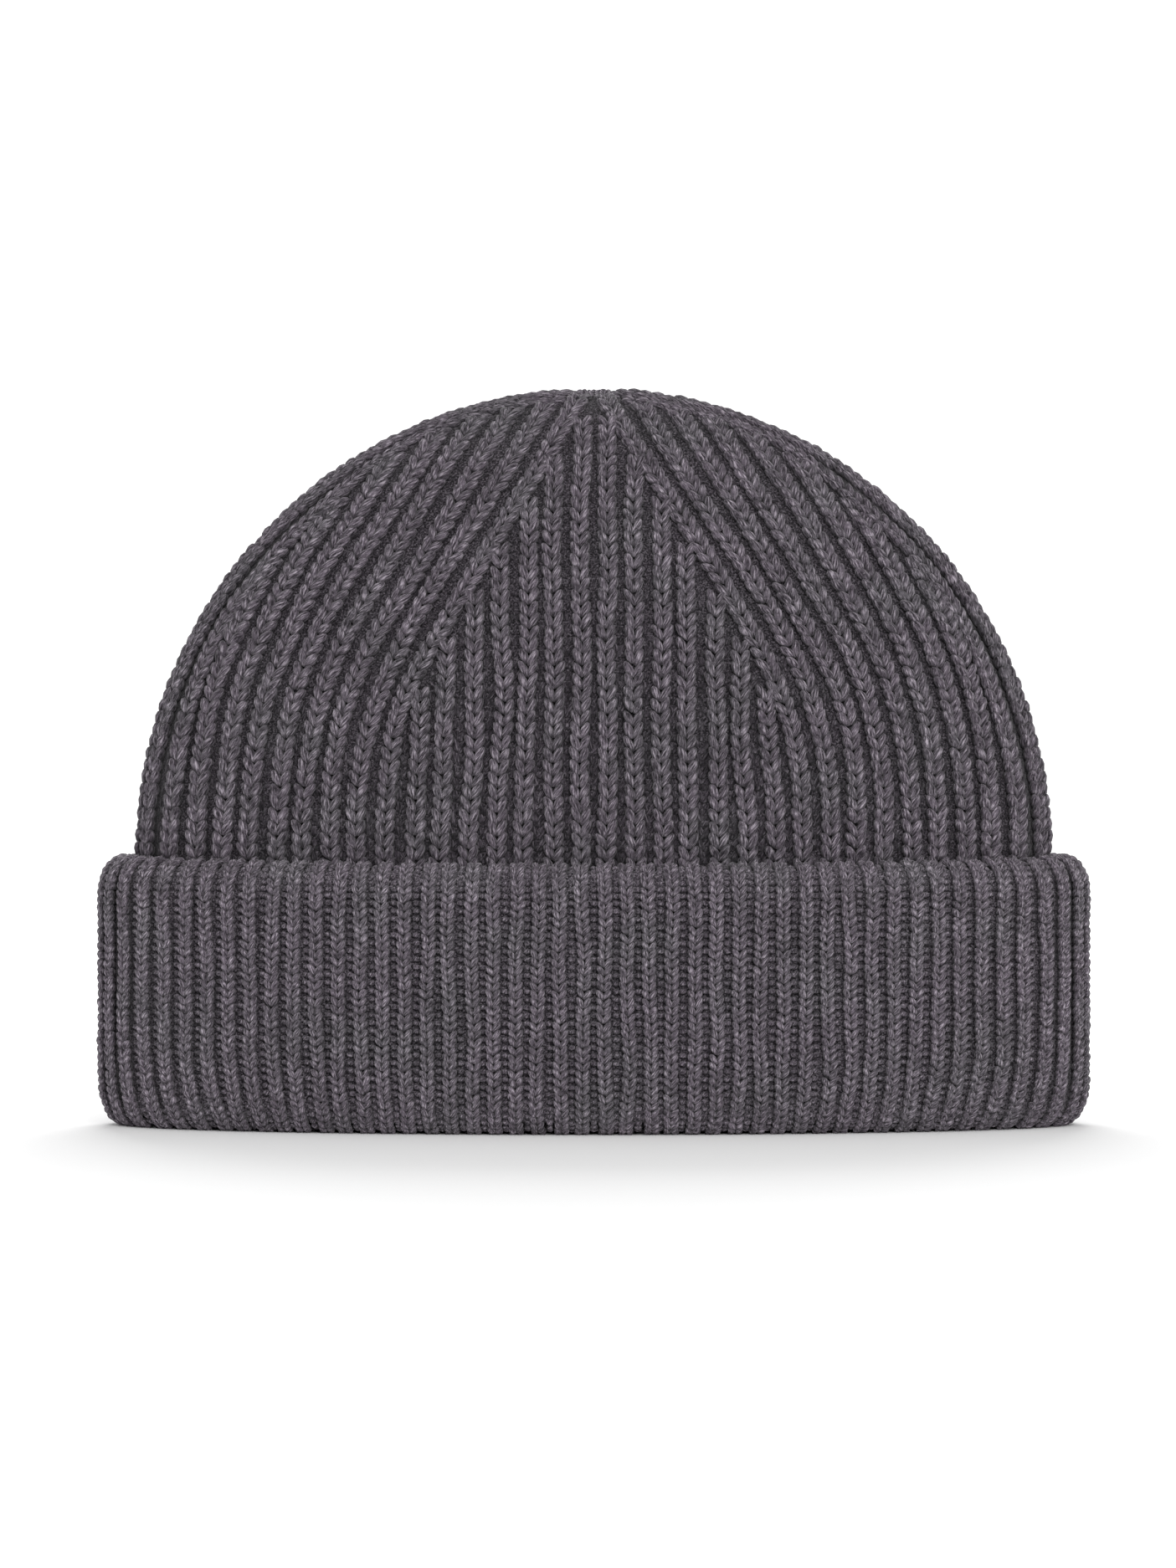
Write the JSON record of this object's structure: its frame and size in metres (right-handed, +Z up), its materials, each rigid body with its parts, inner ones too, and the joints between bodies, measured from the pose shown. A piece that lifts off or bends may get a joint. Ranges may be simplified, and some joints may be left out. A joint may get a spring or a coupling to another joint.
{
  "type": "knit beanie",
  "caption": "Chunky rib-knit beanie with a fully fashioned dome crown and a deep, finer-knit folded cuff, standing on its rim.",
  "frame": {"origin": "centre of the rim's underside, which the upright hat stands on", "axes": "+Z up through the apex, -Y towards the hat's front, +X towards the wearer's left"},
  "size_m": [0.22, 0.093, 0.1632],
  "materials": {
    "chunky_knit": "heathered charcoal wool-blend, chunky rib knit",
    "fine_knit": "heathered charcoal wool-blend, finer rib knit",
    "yarn": "twisted charcoal yarn",
    "satin_label": "woven satin ribbon, blank",
    "label_thread": "sewing thread"
  },
  "bodies": {
    "crown": {"crown_front_gore": "chunky_knit", "crown_back_gore": "chunky_knit", "crown_left_gore": "chunky_knit", "crown_right_gore": "chunky_knit", "crown_closing_yarn": "yarn", "closing_yarn_knot": "yarn", "crown_back_seam": "yarn", "band_joining_seam": "yarn", "care_label": "satin_label", "care_label_stitching": "label_thread"},
    "cuff": {"cuff_outer_layer": "fine_knit", "cuff_inner_layer": "fine_knit", "cuff_back_seam": "yarn"}
  },
  "joints": [
    {"name": "cuff_turn_down", "type": "slide", "parent": "cuff", "child": "crown", "axis": [0, 0, 1], "range_m": [0, 0.057]}
  ]
}
